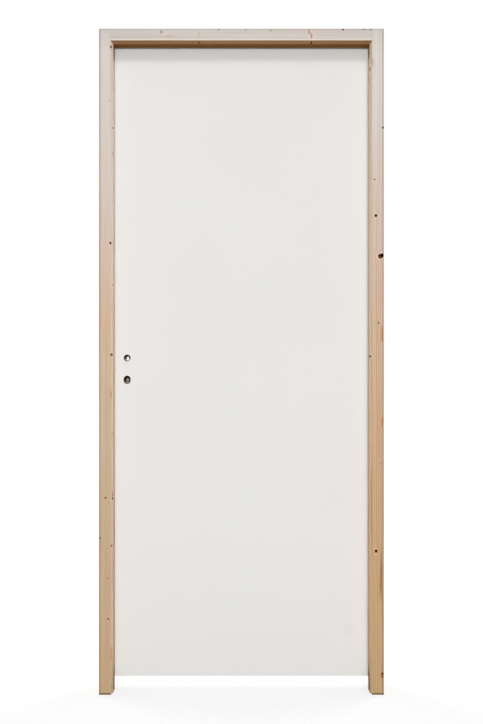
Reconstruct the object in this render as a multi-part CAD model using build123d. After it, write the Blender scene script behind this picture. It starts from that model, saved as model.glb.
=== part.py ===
"""Prehung timber fire door: a rebated softwood frame with a flush solid-core leaf on lift-off hinges.

X runs to the right as seen from the push side, Y away from that side and Z up. The origin is on the
outer face of the hinge jamb, at foot level and halfway through the frame's depth.
"""

import os

from build123d import *

# Leaf
LEAF_WIDTH = 830.0
LEAF_HEIGHT = 2015.0
LEAF_THICKNESS = 40.0
SKIN_THICKNESS = 3.0
STILE_WIDTH = 35.0
RAIL_HEIGHT = 45.0
LOCK_BLOCK_WIDTH = 90.0
LOCK_BLOCK_HEIGHT = 260.0

# Frame section and the room left round the leaf
FRAME_FACE = 42.0
STOP_DEPTH = 45.0
STOP_OVERLAP = 11.0
SPLAY_WIDTH = 5.5
SPLAY_DEPTH = 16.0
EDGE_CLEARANCE = 6.5
STOP_CLEARANCE = 5.0
FOOT_LENGTH = 40.0

# Intumescent strips let into the rebate
SEAL_WIDTH = 10.0
SEAL_THICKNESS = 3.0
SEAL_SETBACK = 2.0

# Lift-off hinges
HINGE_COUNT = 3
HINGE_END_DISTANCE = 220.0
HINGE_HEIGHT = 110.0
FLANGE_WIDTH = 26.0
FLANGE_THICKNESS = 2.5
FLANGE_CORNER_RADIUS = 6.0
FLANGE_SCREWS = 4
FLANGE_SCREW_END = 14.0
FLANGE_SCREW_STAGGER = 9.0
KNUCKLE_RADIUS = 7.0
KNUCKLE_GAP = 1.0
KNUCKLE_CHAMFER = 1.2
PIN_RADIUS = 4.0
PIN_LENGTH = 40.0
PIN_CLEARANCE = 0.05
PIN_END_ROOM = 2.0
WASHER_THICKNESS = 2.0

# Countersunk holes for the screws of hinges, forend and strike
SCREW_DIAMETER = 4.8
SCREW_HEAD_DIAMETER = 8.4

# Mortise lock
BACKSET = 50.0
SPINDLE_HEIGHT = 1015.0
SPINDLE_TO_KEY = 70.0
HANDLE_HOLE_DIAMETER = 22.0
KEY_HOLE_WIDTH = 22.0
KEY_HOLE_HEIGHT = 27.0
CASE_THICKNESS = 15.0
CASE_DEPTH = 78.0
CASE_ABOVE_SPINDLE = 45.0
CASE_BELOW_SPINDLE = 120.0
CASE_WALL = 1.5
MORTISE_CLEARANCE = 0.5
FOREND_WIDTH = 20.0
FOREND_HEIGHT = 235.0
FOREND_THICKNESS = 3.0
FOREND_SCREW_END = 16.0
FOLLOWER_RADIUS = 11.0
FOLLOWER_BOSS_RADIUS = 8.5
FOLLOWER_CLEARANCE = 0.2
SPINDLE_SQUARE = 8.0
KEYWAY_RADIUS = 5.0
KEYWAY_SLOT_WIDTH = 4.5
KEYWAY_SLOT_LENGTH = 13.0
LATCH_HEIGHT = 20.0
LATCH_LENGTH = 34.0
LATCH_BEVEL = 8.0
BOLT_HEIGHT = 28.0
BOLT_LENGTH = 42.0
BOLT_ABOVE_KEY = 26.0
BOLT_CLEARANCE = 0.3

# Strike plate in the lock jamb
STRIKE_WIDTH = 24.0
STRIKE_HEIGHT = 170.0
STRIKE_THICKNESS = 2.0
STRIKE_SCREW_END = 14.0
STRIKE_ROOM = 3.0
STRIKE_POCKET_DEPTH = 14.0
STRIKE_LENGTH_MARGIN = 15.0

# Places that follow from the sizes above
FRAME_BACK = FRAME_FACE - STOP_OVERLAP - EDGE_CLEARANCE
FRAME_FLAT = FRAME_FACE - SPLAY_WIDTH
FRAME_DEPTH = STOP_DEPTH + STOP_CLEARANCE + LEAF_THICKNESS
FRAME_WIDTH = LEAF_WIDTH + 2 * (EDGE_CLEARANCE + FRAME_BACK)
FRAME_HEIGHT = FOOT_LENGTH + LEAF_HEIGHT + EDGE_CLEARANCE + FRAME_BACK
FRONT_Y = -FRAME_DEPTH / 2
BACK_Y = FRAME_DEPTH / 2
STOP_Y = FRONT_Y + STOP_DEPTH
LEAF_FRONT_Y = BACK_Y - LEAF_THICKNESS
LEAF_MID_Y = BACK_Y - LEAF_THICKNESS / 2
HINGE_EDGE_X = -(FRAME_BACK + EDGE_CLEARANCE)
LOCK_EDGE_X = HINGE_EDGE_X - LEAF_WIDTH
LEAF_BOTTOM_Z = FOOT_LENGTH
LEAF_TOP_Z = LEAF_BOTTOM_Z + LEAF_HEIGHT
REBATE_TOP_Z = FRAME_HEIGHT - FRAME_BACK
LOCK_REBATE_X = FRAME_BACK - FRAME_WIDTH
PIN_X = -(FRAME_BACK + EDGE_CLEARANCE / 2)
PIN_Y = BACK_Y + KNUCKLE_GAP + KNUCKLE_RADIUS
LOCK_X = LOCK_EDGE_X + BACKSET
SPINDLE_Z = LEAF_BOTTOM_Z + SPINDLE_HEIGHT
KEY_Z = SPINDLE_Z - SPINDLE_TO_KEY
HOLES_MID_Z = (SPINDLE_Z + KEY_Z) / 2
BOLT_Z = KEY_Z + BOLT_ABOVE_KEY
CASE_FRONT_Y = LEAF_MID_Y - CASE_THICKNESS / 2
CASE_BACK_Y = LEAF_MID_Y + CASE_THICKNESS / 2
CASE_EDGE_X = LOCK_EDGE_X + FOREND_THICKNESS
BOLT_FRONT_Y = CASE_FRONT_Y + CASE_WALL
BOLT_BACK_Y = CASE_BACK_Y - CASE_WALL
CASE_MID_Z = SPINDLE_Z + (CASE_ABOVE_SPINDLE - CASE_BELOW_SPINDLE) / 2
CASE_HEIGHT = CASE_ABOVE_SPINDLE + CASE_BELOW_SPINDLE
STRIKE_MID_Z = (SPINDLE_Z + BOLT_Z) / 2


def block(x0, x1, y0, y1, z0, z1):
    """A box between two corners."""
    return Pos((x0 + x1) / 2, (y0 + y1) / 2, (z0 + z1) / 2) * Box(x1 - x0, y1 - y0, z1 - z0)


def rod_y(x, z, radius, y0, y1):
    """A cylinder that runs along Y."""
    return Pos(x, (y0 + y1) / 2, z) * Rot(90, 0, 0) * Cylinder(radius, y1 - y0)


def rod_z(radius, z0, z1):
    """A cylinder that runs up the hinge pins' axis."""
    return Pos(PIN_X, PIN_Y, (z0 + z1) / 2) * Cylinder(radius, z1 - z0)


def screw_hole(x, away, y, z, thickness):
    """A countersunk hole through a plate whose outer face is at x; away is 1 or -1 along X."""
    turn = Rot(0, away * 90, 0)
    sink = (SCREW_HEAD_DIAMETER - SCREW_DIAMETER) / 2
    head = Pos(x + away * sink / 2, y, z) * turn * Cone(SCREW_HEAD_DIAMETER / 2, SCREW_DIAMETER / 2, sink)
    shank = Pos(x + away * thickness / 2, y, z) * turn * Cylinder(SCREW_DIAMETER / 2, thickness)
    return head + shank


# Frame


def frame_section():
    """Points of the frame's section, as distance in from the outer face and depth from the middle."""
    return [
        (0, FRONT_Y),
        (FRAME_FLAT, FRONT_Y),
        (FRAME_FACE, FRONT_Y + SPLAY_DEPTH),
        (FRAME_FACE, STOP_Y),
        (FRAME_BACK, STOP_Y),
        (FRAME_BACK, BACK_Y),
        (0, BACK_Y),
    ]


def plain_hinge_jamb():
    """The right jamb, full height, with its moulded inner edge mitred to receive the head."""
    outline = Polyline(*[(-inward, depth) for inward, depth in frame_section()], close=True)
    jamb = extrude(make_face(outline), FRAME_HEIGHT, dir=(0, 0, 1))
    reach = SPLAY_WIDTH * 2
    mitre = Polyline(
        (-FRAME_FLAT, FRAME_HEIGHT - FRAME_FLAT),
        (-FRAME_FLAT - reach, FRAME_HEIGHT - FRAME_FLAT - reach),
        (-FRAME_FLAT - reach, FRAME_HEIGHT + reach),
        (-FRAME_FLAT, FRAME_HEIGHT + reach),
        close=True,
    )
    waste = extrude(Plane.XZ * make_face(mitre), FRAME_DEPTH, both=True)
    return jamb - waste


def mirrored(solid):
    """The solid reflected in the frame's middle plane."""
    return mirror(solid, about=Plane.YZ.offset(-FRAME_WIDTH / 2))


def plain_head(hinge_jamb, lock_jamb):
    """The head, scribed between the two jambs."""
    outline = Polyline(*[(depth, FRAME_HEIGHT - inward) for inward, depth in frame_section()], close=True)
    head = extrude(Plane.YZ * make_face(outline), FRAME_WIDTH, dir=(-1, 0, 0))
    return head - hinge_jamb - lock_jamb


def hinge_side_seal():
    """The strip that lies flush in the hinge jamb's rebate."""
    return block(
        -FRAME_BACK, -FRAME_BACK + SEAL_THICKNESS,
        STOP_Y + SEAL_SETBACK, STOP_Y + SEAL_SETBACK + SEAL_WIDTH,
        0, REBATE_TOP_Z,
    )


def head_seal():
    """The strip that lies flush in the head's rebate."""
    return block(
        LOCK_REBATE_X, -FRAME_BACK,
        STOP_Y + SEAL_SETBACK, STOP_Y + SEAL_SETBACK + SEAL_WIDTH,
        REBATE_TOP_Z, REBATE_TOP_Z + SEAL_THICKNESS,
    )


# Hinges


def hinge_heights():
    """Middle heights of the hinges, from the bottom one up."""
    lowest = LEAF_BOTTOM_Z + HINGE_END_DISTANCE
    pitch = (LEAF_HEIGHT - 2 * HINGE_END_DISTANCE) / (HINGE_COUNT - 1)
    return [lowest + pitch * place for place in range(HINGE_COUNT)]


def flange_plate(edge_x, away, z):
    """A hinge flange before its screw holes, let in flush with an edge, with two round corners."""
    x0, x1 = sorted((edge_x, edge_x + away * FLANGE_THICKNESS))
    plate = block(x0, x1, BACK_Y - FLANGE_WIDTH, BACK_Y, z - HINGE_HEIGHT / 2, z + HINGE_HEIGHT / 2)
    return fillet(plate.edges().filter_by(Axis.X).group_by(Axis.Y)[0], FLANGE_CORNER_RADIUS)


def flange(edge_x, away, z, lower, upper):
    """A flange with its screw holes; from lower to upper it reaches the knuckle."""
    x0, x1 = sorted((edge_x, edge_x + away * FLANGE_THICKNESS))
    plate = flange_plate(edge_x, away, z) + block(x0, x1, BACK_Y - FLANGE_WIDTH / 2, PIN_Y, lower, upper)
    first = z - HINGE_HEIGHT / 2 + FLANGE_SCREW_END
    pitch = (HINGE_HEIGHT - 2 * FLANGE_SCREW_END) / (FLANGE_SCREWS - 1)
    for place in range(FLANGE_SCREWS):
        side = 1 if place % 2 else -1
        y = BACK_Y - FLANGE_WIDTH / 2 + side * FLANGE_SCREW_STAGGER / 2
        plate -= screw_hole(edge_x, away, y, first + pitch * place, FLANGE_THICKNESS)
    return plate


def hinge_frame_half(z):
    """The half screwed to the jamb: flange, lower knuckle and pin."""
    bottom = z - HINGE_HEIGHT / 2
    seat = z - WASHER_THICKNESS / 2
    knuckle = rod_z(KNUCKLE_RADIUS, bottom, seat)
    knuckle = chamfer(knuckle.edges().group_by(Axis.Z)[0], KNUCKLE_CHAMFER)
    pin = rod_z(PIN_RADIUS, bottom, seat + WASHER_THICKNESS + PIN_LENGTH)
    return flange(-FRAME_BACK, 1, z, bottom + KNUCKLE_CHAMFER, seat) + knuckle + pin


def hinge_leaf_half(z):
    """The half screwed to the leaf: flange and upper knuckle, which lifts off the pin."""
    top = z + HINGE_HEIGHT / 2
    seat = z + WASHER_THICKNESS / 2
    knuckle = rod_z(KNUCKLE_RADIUS, seat, top)
    knuckle = chamfer(knuckle.edges().group_by(Axis.Z)[-1], KNUCKLE_CHAMFER)
    bore = rod_z(PIN_RADIUS + PIN_CLEARANCE, seat, seat + PIN_LENGTH + PIN_END_ROOM)
    return flange(HINGE_EDGE_X, -1, z, seat, top - KNUCKLE_CHAMFER) + knuckle - bore


def hinge_washer(z):
    """The bearing ring between the two knuckles."""
    low = z - WASHER_THICKNESS / 2
    high = z + WASHER_THICKNESS / 2
    return rod_z(KNUCKLE_RADIUS, low, high) - rod_z(PIN_RADIUS + PIN_CLEARANCE, low, high)


# Lock


def lock_slots(x0, x1, room, y0, y1):
    """The two slots that the latch and the dead bolt pass through, with room round each."""
    latch = block(x0, x1, y0, y1, SPINDLE_Z - LATCH_HEIGHT / 2 - room, SPINDLE_Z + LATCH_HEIGHT / 2 + room)
    bolt = block(x0, x1, y0, y1, BOLT_Z - BOLT_HEIGHT / 2 - room, BOLT_Z + BOLT_HEIGHT / 2 + room)
    return latch + bolt


def forend_blank():
    """The round-ended plate on the leaf's edge."""
    outline = Rot(0, 0, 90) * SlotOverall(FOREND_HEIGHT, FOREND_WIDTH)
    face = Plane.YZ * Pos(LEAF_MID_Y, CASE_MID_Z) * outline
    return extrude(Pos(LOCK_EDGE_X, 0, 0) * face, FOREND_THICKNESS, dir=(1, 0, 0))


def lock_forend():
    """The forend with its latch and bolt slots and its two screw holes."""
    slots = lock_slots(
        LOCK_EDGE_X, CASE_EDGE_X, BOLT_CLEARANCE, BOLT_FRONT_Y - BOLT_CLEARANCE, BOLT_BACK_Y + BOLT_CLEARANCE
    )
    plate = forend_blank() - slots
    for side in (-1, 1):
        z = CASE_MID_Z + side * (FOREND_HEIGHT / 2 - FOREND_SCREW_END)
        plate -= screw_hole(LOCK_EDGE_X, 1, LEAF_MID_Y, z, FOREND_THICKNESS)
    return plate


def keyway(y0, y1):
    """The round-headed slot for a lever key."""
    half = KEYWAY_SLOT_WIDTH / 2
    slot = block(LOCK_X - half, LOCK_X + half, y0, y1, KEY_Z - KEYWAY_SLOT_LENGTH, KEY_Z)
    return rod_y(LOCK_X, KEY_Z, KEYWAY_RADIUS, y0, y1) + slot


def follower_hole(y0, y1):
    """The hole in a case wall that the follower's boss turns in."""
    return rod_y(LOCK_X, SPINDLE_Z, FOLLOWER_BOSS_RADIUS + FOLLOWER_CLEARANCE, y0, y1)


def lock_cover():
    """The flat plate that closes the case on the push side."""
    plate = block(
        CASE_EDGE_X, CASE_EDGE_X + CASE_DEPTH,
        CASE_FRONT_Y, BOLT_FRONT_Y,
        CASE_MID_Z - CASE_HEIGHT / 2, CASE_MID_Z + CASE_HEIGHT / 2,
    )
    return plate - follower_hole(CASE_FRONT_Y, BOLT_FRONT_Y) - keyway(CASE_FRONT_Y, BOLT_FRONT_Y)


def lock_case():
    """The pressed case: a tray with a rim, open towards the cover and slotted towards the forend."""
    tray = block(
        CASE_EDGE_X, CASE_EDGE_X + CASE_DEPTH,
        BOLT_FRONT_Y, CASE_BACK_Y,
        CASE_MID_Z - CASE_HEIGHT / 2, CASE_MID_Z + CASE_HEIGHT / 2,
    )
    hollow = block(
        CASE_EDGE_X + CASE_WALL, CASE_EDGE_X + CASE_DEPTH - CASE_WALL,
        BOLT_FRONT_Y, BOLT_BACK_Y,
        CASE_MID_Z - CASE_HEIGHT / 2 + CASE_WALL, CASE_MID_Z + CASE_HEIGHT / 2 - CASE_WALL,
    )
    slots = lock_slots(CASE_EDGE_X, CASE_EDGE_X + CASE_WALL, BOLT_CLEARANCE, BOLT_FRONT_Y, BOLT_BACK_Y)
    return tray - hollow - slots - follower_hole(BOLT_BACK_Y, CASE_BACK_Y) - keyway(BOLT_BACK_Y, CASE_BACK_Y)


def follower():
    """The hub that the handle's spindle turns, held between case and cover by its flange."""
    hub = rod_y(LOCK_X, SPINDLE_Z, FOLLOWER_BOSS_RADIUS, CASE_FRONT_Y, CASE_BACK_Y)
    collar = rod_y(LOCK_X, SPINDLE_Z, FOLLOWER_RADIUS, BOLT_FRONT_Y, BOLT_BACK_Y)
    half = SPINDLE_SQUARE / 2
    square = block(
        LOCK_X - half, LOCK_X + half,
        CASE_FRONT_Y, CASE_BACK_Y,
        SPINDLE_Z - half, SPINDLE_Z + half,
    )
    return hub + collar - square


def latch_bolt():
    """The bevelled spring latch, drawn back level with the forend."""
    bottom = SPINDLE_Z - LATCH_HEIGHT / 2
    outline = Polyline(
        (LOCK_EDGE_X, BOLT_FRONT_Y),
        (LOCK_EDGE_X + LATCH_LENGTH, BOLT_FRONT_Y),
        (LOCK_EDGE_X + LATCH_LENGTH, BOLT_BACK_Y),
        (LOCK_EDGE_X + LATCH_BEVEL, BOLT_BACK_Y),
        close=True,
    )
    return Pos(0, 0, bottom) * extrude(make_face(outline), LATCH_HEIGHT, dir=(0, 0, 1))


def dead_bolt():
    """The dead bolt, drawn back level with the forend."""
    return block(
        LOCK_EDGE_X, LOCK_EDGE_X + BOLT_LENGTH,
        BOLT_FRONT_Y, BOLT_BACK_Y,
        BOLT_Z - BOLT_HEIGHT / 2, BOLT_Z + BOLT_HEIGHT / 2,
    )


def lock_mortise():
    """The pocket in the leaf's edge for the case."""
    return block(
        LOCK_EDGE_X, CASE_EDGE_X + CASE_DEPTH + MORTISE_CLEARANCE,
        CASE_FRONT_Y - MORTISE_CLEARANCE, CASE_BACK_Y + MORTISE_CLEARANCE,
        CASE_MID_Z - CASE_HEIGHT / 2 - MORTISE_CLEARANCE, CASE_MID_Z + CASE_HEIGHT / 2 + MORTISE_CLEARANCE,
    )


def lock_holes():
    """The round handle hole and the oblong key hole, right through the leaf."""
    handle = rod_y(LOCK_X, SPINDLE_Z, HANDLE_HOLE_DIAMETER / 2, LEAF_FRONT_Y, BACK_Y)
    outline = Rot(0, 0, 90) * SlotOverall(KEY_HOLE_HEIGHT, KEY_HOLE_WIDTH)
    oblong = Plane.XZ * Pos(LOCK_X, KEY_Z) * outline
    key = extrude(Pos(0, LEAF_FRONT_Y, 0) * oblong, LEAF_THICKNESS, dir=(0, 1, 0))
    return handle + key


def strike_blank():
    """The round-ended strike plate before its openings are cut."""
    outline = Rot(0, 0, 90) * SlotOverall(STRIKE_HEIGHT, STRIKE_WIDTH)
    face = Plane.YZ * Pos(LEAF_MID_Y, STRIKE_MID_Z) * outline
    return extrude(Pos(LOCK_REBATE_X, 0, 0) * face, STRIKE_THICKNESS, dir=(-1, 0, 0))


def strike_slots(depth):
    """The latch and bolt openings of the strike, carried to a depth into the jamb."""
    return lock_slots(
        LOCK_REBATE_X - depth, LOCK_REBATE_X,
        STRIKE_ROOM, BOLT_FRONT_Y - STRIKE_ROOM, BOLT_BACK_Y + STRIKE_ROOM,
    )


def strike_plate():
    """The strike plate with its latch and bolt openings and its two screw holes."""
    plate = strike_blank() - strike_slots(STRIKE_THICKNESS)
    for side in (-1, 1):
        z = STRIKE_MID_Z + side * (STRIKE_HEIGHT / 2 - STRIKE_SCREW_END)
        plate -= screw_hole(LOCK_REBATE_X, -1, LEAF_MID_Y, z, STRIKE_THICKNESS)
    return plate


def jamb_lengths(jamb):
    """The lock jamb in three lengths, so that the strike's pockets lie in a short one."""
    reach = STRIKE_HEIGHT / 2 + STRIKE_LENGTH_MARGIN
    cuts = [0, STRIKE_MID_Z - reach, STRIKE_MID_Z + reach, FRAME_HEIGHT]
    return [
        jamb & block(-FRAME_WIDTH, FRAME_FACE - FRAME_WIDTH, FRONT_Y, BACK_Y, low, high)
        for low, high in zip(cuts, cuts[1:])
    ]


# Leaf


def skin(y0):
    """A face sheet with the lock holes."""
    sheet = block(LOCK_EDGE_X, HINGE_EDGE_X, y0, y0 + SKIN_THICKNESS, LEAF_BOTTOM_Z, LEAF_TOP_Z)
    return sheet - lock_holes()


def inner_member(x0, x1, z0, z1):
    """A piece of the leaf between its two face sheets."""
    return block(x0, x1, LEAF_FRONT_Y + SKIN_THICKNESS, BACK_Y - SKIN_THICKNESS, z0, z1)


def build():
    """Every piece of the door by name."""
    heights = hinge_heights()
    names = ["bottom", "middle", "top"] if HINGE_COUNT == 3 else [f"{n + 1}" for n in range(HINGE_COUNT)]

    hinge_jamb = plain_hinge_jamb()
    lock_jamb = mirrored(hinge_jamb)
    head = plain_head(hinge_jamb, lock_jamb) - head_seal()
    hinge_jamb -= hinge_side_seal()
    lock_jamb -= mirrored(hinge_side_seal())
    for z in heights:
        hinge_jamb -= flange_plate(-FRAME_BACK, 1, z)
    lock_jamb = lock_jamb - strike_blank() - strike_slots(STRIKE_POCKET_DEPTH)

    lower_jamb, middle_jamb, upper_jamb = jamb_lengths(lock_jamb)

    stile_inner_lock = LOCK_EDGE_X + STILE_WIDTH
    stile_inner_hinge = HINGE_EDGE_X - STILE_WIDTH
    lock_stile = inner_member(LOCK_EDGE_X, stile_inner_lock, LEAF_BOTTOM_Z, LEAF_TOP_Z)
    lock_stile = lock_stile - forend_blank() - lock_mortise() - lock_holes()
    block_inner = stile_inner_lock + LOCK_BLOCK_WIDTH
    block_low = CASE_MID_Z - LOCK_BLOCK_HEIGHT / 2
    block_high = CASE_MID_Z + LOCK_BLOCK_HEIGHT / 2
    lower_block = inner_member(stile_inner_lock, block_inner, block_low, HOLES_MID_Z)
    upper_block = inner_member(stile_inner_lock, block_inner, HOLES_MID_Z, block_high)
    hinge_stile = inner_member(stile_inner_hinge, HINGE_EDGE_X, LEAF_BOTTOM_Z, LEAF_TOP_Z)
    back_skin = skin(BACK_Y - SKIN_THICKNESS)
    for z in heights:
        hinge_stile -= flange_plate(HINGE_EDGE_X, -1, z)
        back_skin -= flange_plate(HINGE_EDGE_X, -1, z)

    rail_low = LEAF_BOTTOM_Z + RAIL_HEIGHT
    rail_high = LEAF_TOP_Z - RAIL_HEIGHT
    core = inner_member(stile_inner_lock, stile_inner_hinge, rail_low, rail_high)
    pieces = {
        "lock_jamb_lower": lower_jamb,
        "lock_jamb_middle": middle_jamb,
        "lock_jamb_upper": upper_jamb,
        "hinge_jamb": hinge_jamb,
        "head": head,
        "lock_side_seal": mirrored(hinge_side_seal()),
        "hinge_side_seal": hinge_side_seal(),
        "head_seal": head_seal(),
        "strike_plate": strike_plate(),
        "front_skin": skin(LEAF_FRONT_Y),
        "back_skin": back_skin,
        "core": core - lower_block - upper_block,
        "lock_block_lower": lower_block - lock_mortise() - lock_holes(),
        "lock_block_upper": upper_block - lock_mortise() - lock_holes(),
        "lock_stile": lock_stile,
        "hinge_stile": hinge_stile,
        "top_rail": inner_member(stile_inner_lock, stile_inner_hinge, rail_high, LEAF_TOP_Z),
        "bottom_rail": inner_member(stile_inner_lock, stile_inner_hinge, LEAF_BOTTOM_Z, rail_low),
        "lock_case": lock_case(),
        "lock_cover": lock_cover(),
        "lock_forend": lock_forend(),
        "follower": follower(),
        "latch_bolt": latch_bolt(),
        "dead_bolt": dead_bolt(),
    }
    for name, z in zip(names, heights):
        pieces[f"hinge_frame_half_{name}"] = hinge_frame_half(z)
        pieces[f"hinge_leaf_half_{name}"] = hinge_leaf_half(z)
        pieces[f"hinge_washer_{name}"] = hinge_washer(z)
    return pieces


os.makedirs("parts", exist_ok=True)
for name, piece in build().items():
    export_step(piece, f"parts/{name}.step")
print(f"frame {FRAME_WIDTH:.1f} x {FRAME_DEPTH:.1f} x {FRAME_HEIGHT:.1f} mm")
print(f"hinge pins at x {PIN_X:.2f}, y {PIN_Y:.2f} mm")
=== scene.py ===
# %% [markdown]
# # A prehung timber fire door
#
# A prehung door arrives as one unit: the leaf already hangs on its hinges in the frame that gets built in.
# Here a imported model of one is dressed: raw spruce round a white-primed leaf, with the steel of hinges,
# lock and strike on the sides that show when the leaf is open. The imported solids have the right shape,
# so most of them stay and get a finish and eased edges. Fresh meshes beside them could drift out of place.

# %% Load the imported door
import math

import bmesh
import bpy
from mathutils import Matrix, Vector


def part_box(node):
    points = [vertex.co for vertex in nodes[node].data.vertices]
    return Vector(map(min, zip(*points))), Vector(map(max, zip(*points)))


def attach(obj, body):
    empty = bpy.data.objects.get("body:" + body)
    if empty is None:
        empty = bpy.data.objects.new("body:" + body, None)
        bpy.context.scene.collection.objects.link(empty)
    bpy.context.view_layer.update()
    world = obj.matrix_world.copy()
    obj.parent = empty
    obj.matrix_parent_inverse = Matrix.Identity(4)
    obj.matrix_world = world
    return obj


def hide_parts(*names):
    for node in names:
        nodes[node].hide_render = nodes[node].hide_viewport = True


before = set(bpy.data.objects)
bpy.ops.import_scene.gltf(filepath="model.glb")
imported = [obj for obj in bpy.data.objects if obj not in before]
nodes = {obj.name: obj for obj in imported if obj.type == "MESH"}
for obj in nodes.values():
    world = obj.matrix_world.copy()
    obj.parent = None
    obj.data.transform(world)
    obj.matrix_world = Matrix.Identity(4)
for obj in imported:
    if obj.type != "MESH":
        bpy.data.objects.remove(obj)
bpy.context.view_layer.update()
scene = bpy.context.scene
scene.view_settings.view_transform = "Standard"

# %% [markdown]
# ## Camera
#
# The photograph looks square-on at the push side, from about two and a half metres, at half the door's
# height. A lens can be guessed by eye, but the widths of the reveal at the two jambs and the head fix both
# distance and lens, because near and far edges of the same timber shrink by different amounts.

# %% Camera at the photograph's place
FRONT = -0.045  # the frame's front face; sizes are in metres unless a comment says otherwise
MIDDLE, EYE, DISTANCE = -0.4458, 1.0422, 2.5
LENS = 39.70
camera_data = bpy.data.cameras.new("camera")
camera_data.lens = LENS
camera = bpy.data.objects.new("camera", camera_data)
camera.location = (MIDDLE, FRONT - DISTANCE, EYE)
camera.rotation_euler = (math.radians(90), 0, 0)
scene.collection.objects.link(camera)
scene.camera = camera
print("camera", [round(v, 3) for v in camera.location], "lens", camera_data.lens)

# %% [markdown]
# ## Shader helpers
#
# Materials here are graphs of nodes. Wiring each by hand takes many lines, so a few helpers make a node,
# feed its sockets from a value or from another node, and hand back the result. Colours are written as on a
# paint card, from 0 to 255, and turned into the linear light that shaders work in.


# %% Colours, sockets and nodes
def paint(red, green, blue):
    """A paint-card colour as linear light."""
    parts = [c / 255 for c in (red, green, blue)]
    return tuple(c / 12.92 if c <= 0.04045 else ((c + 0.055) / 1.055) ** 2.4 for c in parts) + (1.0,)


def wire(tree, socket, value):
    """Feeds a socket from another socket, or sets it to a plain value."""
    if isinstance(value, bpy.types.NodeSocket):
        tree.links.new(value, socket)
    else:
        socket.default_value = value


def shader_node(tree, kind, values=None, group=None, **settings):
    """A new node with its settings and inputs; a group node also takes its group."""
    made = tree.nodes.new(kind)
    if group:
        made.node_tree = group
    for key, value in settings.items():
        setattr(made, key, value)
    for key, value in (values or {}).items():
        wire(tree, made.inputs[key], value)
    return made


print("a mid grey in linear light:", [round(c, 3) for c in paint(128, 128, 128)])


# %% Sums, steps, blends and noise
def maths(tree, operation, *values):
    """A Math node's result."""
    return shader_node(tree, "ShaderNodeMath", dict(enumerate(values)), operation=operation).outputs[0]


def vectors(tree, operation, *values):
    """A Vector Math node's result."""
    made = shader_node(tree, "ShaderNodeVectorMath", dict(enumerate(values)), operation=operation)
    return made.outputs["Value" if operation == "LENGTH" else "Vector"]


def ease(tree, value, start, end, low=0.0, high=1.0):
    """A smooth step from low at start to high at end."""
    limits = {"Value": value, "From Min": start, "From Max": end, "To Min": low, "To Max": high}
    return shader_node(tree, "ShaderNodeMapRange", limits, interpolation_type="SMOOTHSTEP").outputs[0]


def blend(tree, factor, first, second, kind="MIX"):
    """Two colours mixed by a factor."""
    colours = {0: factor, 6: first, 7: second}
    return shader_node(tree, "ShaderNodeMix", colours, data_type="RGBA", blend_type=kind).outputs[2]


def noise(tree, place, scale=1.0, detail=2.0):
    """Soft noise from 0 to 1."""
    values = {"Vector": place, "Scale": scale, "Detail": detail}
    return shader_node(tree, "ShaderNodeTexNoise", values).outputs[0]


def ramp(tree, factor, stops):
    """Colours along a factor."""
    made = shader_node(tree, "ShaderNodeValToRGB", {0: factor})
    elements = made.color_ramp.elements
    for element, (position, colour) in zip(elements, (stops[0], stops[-1])):
        element.position, element.color = position, colour
    for position, colour in stops[1:-1]:
        elements.new(position).color = colour
    return made.outputs[0]


print("helpers for numbers and colours ready")


# %% A new finish and its relief
def finish(name):
    """A new material with its graph, its shader and the place on the piece at rest."""
    material = bpy.data.materials.new(name)
    material.use_nodes = True
    tree = material.node_tree
    place = shader_node(tree, "ShaderNodeTexCoord").outputs
    return material, tree, tree.nodes["Principled BSDF"], place


def bump(tree, shader, height, depth):
    """Fine relief, with the depth in metres."""
    made = shader_node(tree, "ShaderNodeBump", {"Height": height, "Distance": depth, "Strength": 1.0})
    tree.links.new(made.outputs[0], shader.inputs["Normal"])


print("helpers for finishes ready")

# %% [markdown]
# ## Room and light
#
# The photograph is a cut-out on white, so floor and sky are white to the camera alone: the Light Path node
# tells a camera ray from one that lights the door. Brighter lamps could whiten the floor too, but they
# would bleach the leaf, and the shadow on the floor would be lost. A soft sun stands for a lamp above and a
# little to the right, which gives the shadow under the head. A narrow one straight ahead fills, and two wide
# ones from behind light the sides and the back.


# %% White surroundings that don't light the door
def seen_directly(tree):
    """1 for rays that come from the camera, straight or by a mirror or through glass."""
    path = shader_node(tree, "ShaderNodeLightPath").outputs
    seen = maths(tree, "MAXIMUM", path["Is Camera Ray"], path["Is Glossy Ray"])
    return maths(tree, "MAXIMUM", seen, path["Is Transmission Ray"])


AMBIENT = 0.36
world = bpy.data.worlds.new("studio")
world.use_nodes = True
scene.world = world
sky = world.node_tree
backdrop = sky.nodes["Background"]
backdrop.inputs["Color"].default_value = (1, 1, 1, 1)
wire(sky, backdrop.inputs["Strength"], ease(sky, seen_directly(sky), 0.0, 1.0, AMBIENT, 1.0))

FLOOR_REACH, FLOOR_DROP = 20, 0.0005
corners = [(x * FLOOR_REACH, y * FLOOR_REACH, 0) for x, y in ((-1, -1), (1, -1), (1, 1), (-1, 1))]
floor_mesh = bpy.data.meshes.new("floor")
floor_mesh.from_pydata(corners, [], [(0, 1, 2, 3)])
floor = bpy.data.objects.new("floor", floor_mesh)
floor.location.z = -FLOOR_DROP
scene.collection.objects.link(floor)

FLOOR_GREY, FLOOR_GLOW = 0.16, 0.77
floor_paint, tree, shader, place = finish("floor")
shader.inputs["Base Color"].default_value = (FLOOR_GREY, FLOOR_GREY, FLOOR_GREY, 1)
shader.inputs["Roughness"].default_value = 0.9
shader.inputs["Emission Color"].default_value = (1, 1, 1, 1)
glow = maths(tree, "MULTIPLY", seen_directly(tree), FLOOR_GLOW)
wire(tree, shader.inputs["Emission Strength"], glow)
floor_mesh.materials.append(floor_paint)
print("floor and sky are white to the camera, ambient", AMBIENT)


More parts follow.
